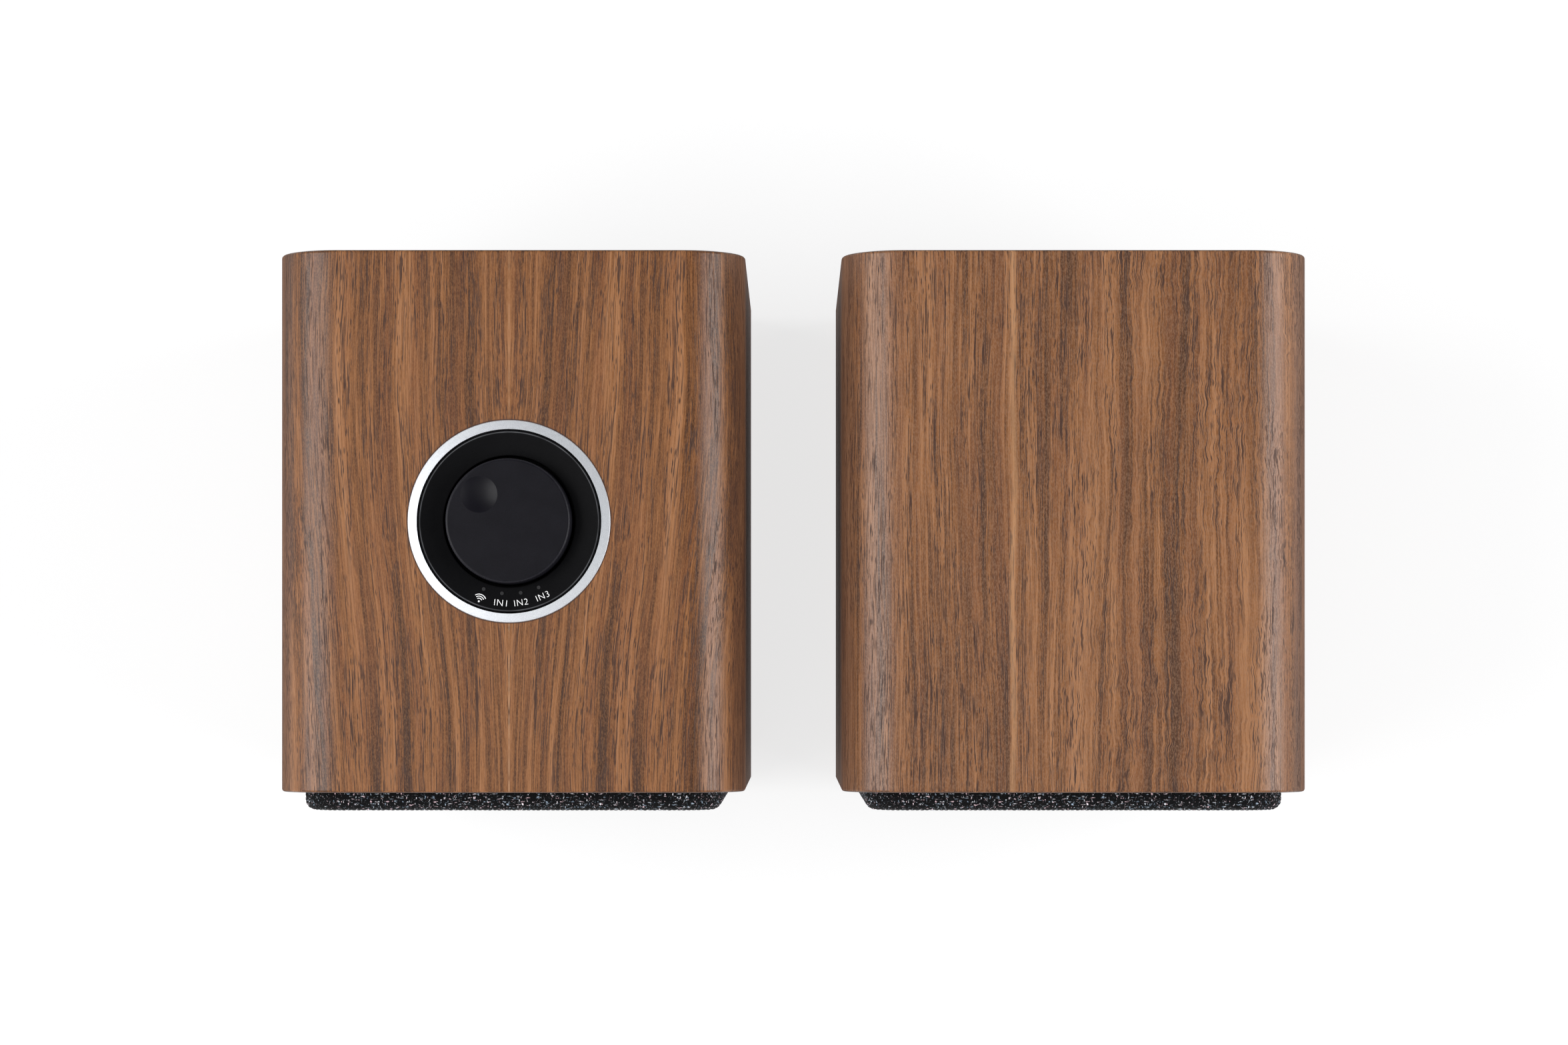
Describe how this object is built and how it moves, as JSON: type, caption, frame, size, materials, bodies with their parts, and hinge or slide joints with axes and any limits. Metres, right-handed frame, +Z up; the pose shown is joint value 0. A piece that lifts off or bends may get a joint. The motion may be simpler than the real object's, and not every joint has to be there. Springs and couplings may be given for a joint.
{
  "type": "desktop speakers",
  "caption": "Pair of compact wooden desktop loudspeakers with rounded edges and cloth grilles, one holding the amplifier and a round control dial on its top.",
  "frame": {"origin": "on the desk, under the middle of the pair's bounding box", "axes": "+X from the active left speaker to the right one, +Y from the grilles to the rear panels, +Z up"},
  "size_m": [0.287, 0.1672, 0.177],
  "materials": {
    "walnut_veneer": "satin walnut veneer, grain front to back",
    "black_board": "black-stained fibreboard",
    "foot_rubber": "matt rubber",
    "grille_plastic": "moulded",
    "grille_fabric": "woven cloth in dark mixed yarns",
    "basket_steel": "satin black paint",
    "motor_steel": "zinc plated",
    "ferrite": "ground ferrite",
    "cone_metal": "satin dark cone",
    "copper_wire": "enamelled winding",
    "surround_rubber": "matt rubber",
    "spider_fabric": "impregnated cloth",
    "driver_plastic": "fine texture",
    "dome_silk": "coated silk",
    "screw_steel": "black oxide",
    "port_plastic": "moulded",
    "contact_metal": "gold plated",
    "black_cap": "moulded cap",
    "red_cap": "moulded cap",
    "trim_aluminium": "bead blasted and anodised",
    "dish_plastic": "fine satin texture",
    "lens_plastic": "smoked lens",
    "knob_plastic": "soft-touch",
    "shaft_metal": "turned",
    "component_plastic": "moulded",
    "amp_metal": "powder coated",
    "circuit_board": "solder mask",
    "socket_metal": "nickel plated",
    "inlet_plastic": "moulded",
    "rocker_plastic": "moulded"
  },
  "bodies": {
    "left_speaker": {"left_cabinet": "walnut_veneer", "left_front_baffle": "black_board", "left_rear_panel": "black_board", "left_feet": "foot_rubber", "left_woofer_basket": "basket_steel", "left_woofer_yoke": "motor_steel", "left_woofer_magnet": "ferrite", "left_woofer_surround": "surround_rubber", "left_woofer_spider": "spider_fabric", "left_tweeter_plate": "driver_plastic", "left_tweeter_magnet": "motor_steel", "left_screws": "screw_steel", "left_port_tube": "port_plastic", "left_binding_posts": "contact_metal", "left_control_ring": "trim_aluminium", "left_control_dish": "dish_plastic", "left_indicator_lenses": "lens_plastic", "left_encoder": "component_plastic", "left_amp_plate": "amp_metal", "left_amp_board": "circuit_board", "left_power_supply": "circuit_board", "left_input_sockets": "socket_metal", "left_mains_inlet": "inlet_plastic"},
    "right_speaker": {"right_cabinet": "walnut_veneer", "right_front_baffle": "black_board", "right_rear_panel": "black_board", "right_feet": "foot_rubber", "right_woofer_basket": "basket_steel", "right_woofer_yoke": "motor_steel", "right_woofer_magnet": "ferrite", "right_woofer_surround": "surround_rubber", "right_woofer_spider": "spider_fabric", "right_tweeter_plate": "driver_plastic", "right_tweeter_magnet": "motor_steel", "right_screws": "screw_steel", "right_port_tube": "port_plastic", "right_binding_posts": "contact_metal", "right_crossover_board": "circuit_board"},
    "left_grille": {"left_grille_frame": "grille_plastic", "left_grille_cloth": "grille_fabric"},
    "left_cone": {"left_woofer_cone": "cone_metal", "left_woofer_voice_coil": "copper_wire"},
    "left_dome": {"left_tweeter_dome": "dome_silk"},
    "left_black_washer": {"left_black_washer": "contact_metal"},
    "left_black_nut": {"left_black_nut": "black_cap"},
    "left_red_washer": {"left_red_washer": "contact_metal"},
    "left_red_nut": {"left_red_nut": "red_cap"},
    "right_grille": {"right_grille_frame": "grille_plastic", "right_grille_cloth": "grille_fabric"},
    "right_cone": {"right_woofer_cone": "cone_metal", "right_woofer_voice_coil": "copper_wire"},
    "right_dome": {"right_tweeter_dome": "dome_silk"},
    "right_black_washer": {"right_black_washer": "contact_metal"},
    "right_black_nut": {"right_black_nut": "black_cap"},
    "right_red_washer": {"right_red_washer": "contact_metal"},
    "right_red_nut": {"right_red_nut": "red_cap"},
    "dial_rotor": {"left_encoder_rotor": "component_plastic"},
    "dial_knob": {"left_knob": "knob_plastic", "left_knob_shaft": "shaft_metal"},
    "power_rocker": {"left_power_rocker": "rocker_plastic"}
  },
  "joints": [
    {"name": "right_speaker_slide", "type": "slide", "parent": "left_speaker", "child": "right_speaker", "axis": [1, 0, 0], "range_m": [0, 0.3]},
    {"name": "left_grille_pull", "type": "slide", "parent": "left_speaker", "child": "left_grille", "axis": [0, -1, 0], "range_m": [0, 0.03]},
    {"name": "left_cone_travel", "type": "slide", "parent": "left_speaker", "child": "left_cone", "axis": [0, -1, 0], "range_m": [-0.0025, 0.0025], "stiffness_N_per_m": 1000, "deforming": ["left_woofer_surround", "left_woofer_spider"]},
    {"name": "left_dome_travel", "type": "slide", "parent": "left_speaker", "child": "left_dome", "axis": [0, -1, 0], "range_m": [-0.0003, 0.0003], "stiffness_N_per_m": 200},
    {"name": "left_black_washer_slide", "type": "slide", "parent": "left_speaker", "child": "left_black_washer", "axis": [0, 1, 0], "range_m": [0, 0.0021]},
    {"name": "left_black_nut_turn", "type": "hinge", "parent": "left_black_washer", "child": "left_black_nut", "pos_m": [-0.08803, 0.0776, 0.066], "axis": [0, 1, 0], "range_deg": [0, 1081]},
    {"name": "left_red_washer_slide", "type": "slide", "parent": "left_speaker", "child": "left_red_washer", "axis": [0, 1, 0], "range_m": [0, 0.0021]},
    {"name": "left_red_nut_turn", "type": "hinge", "parent": "left_red_washer", "child": "left_red_nut", "pos_m": [-0.06897, 0.0776, 0.066], "axis": [0, 1, 0], "range_deg": [0, 1081]},
    {"name": "right_grille_pull", "type": "slide", "parent": "right_speaker", "child": "right_grille", "axis": [0, -1, 0], "range_m": [0, 0.03]},
    {"name": "right_cone_travel", "type": "slide", "parent": "right_speaker", "child": "right_cone", "axis": [0, -1, 0], "range_m": [-0.0025, 0.0025], "stiffness_N_per_m": 1000, "deforming": ["right_woofer_surround", "right_woofer_spider"]},
    {"name": "right_dome_travel", "type": "slide", "parent": "right_speaker", "child": "right_dome", "axis": [0, -1, 0], "range_m": [-0.0003, 0.0003], "stiffness_N_per_m": 200},
    {"name": "right_black_washer_slide", "type": "slide", "parent": "right_speaker", "child": "right_black_washer", "axis": [0, 1, 0], "range_m": [0, 0.0021]},
    {"name": "right_black_nut_turn", "type": "hinge", "parent": "right_black_washer", "child": "right_black_nut", "pos_m": [0.06897, 0.0776, 0.066], "axis": [0, 1, 0], "range_deg": [0, 1081]},
    {"name": "right_red_washer_slide", "type": "slide", "parent": "right_speaker", "child": "right_red_washer", "axis": [0, 1, 0], "range_m": [0, 0.0021]},
    {"name": "right_red_nut_turn", "type": "hinge", "parent": "right_red_washer", "child": "right_red_nut", "pos_m": [0.08803, 0.0776, 0.066], "axis": [0, 1, 0], "range_deg": [0, 1081]},
    {"name": "dial_turn", "type": "hinge", "parent": "left_speaker", "child": "dial_rotor", "pos_m": [-0.0785, -0.0034, 0.172], "axis": [0, 0, 1], "continuous": true},
    {"name": "dial_press", "type": "slide", "parent": "dial_rotor", "child": "dial_knob", "axis": [0, 0, -1], "range_m": [0, 0.0006], "stiffness_N_per_m": 2500, "springref_m": -0.0003},
    {"name": "power_switch", "type": "hinge", "parent": "left_speaker", "child": "power_rocker", "pos_m": [-0.0635, 0.0686, 0.032], "axis": [1, 0, 0], "range_deg": [0, 22]}
  ],
  "couplings": [
    {"joint": "left_black_nut_turn", "follows": "left_black_washer_slide", "rad_per_m": 8976},
    {"joint": "left_red_nut_turn", "follows": "left_red_washer_slide", "rad_per_m": 8976},
    {"joint": "right_black_nut_turn", "follows": "right_black_washer_slide", "rad_per_m": 8976},
    {"joint": "right_red_nut_turn", "follows": "right_red_washer_slide", "rad_per_m": 8976}
  ]
}
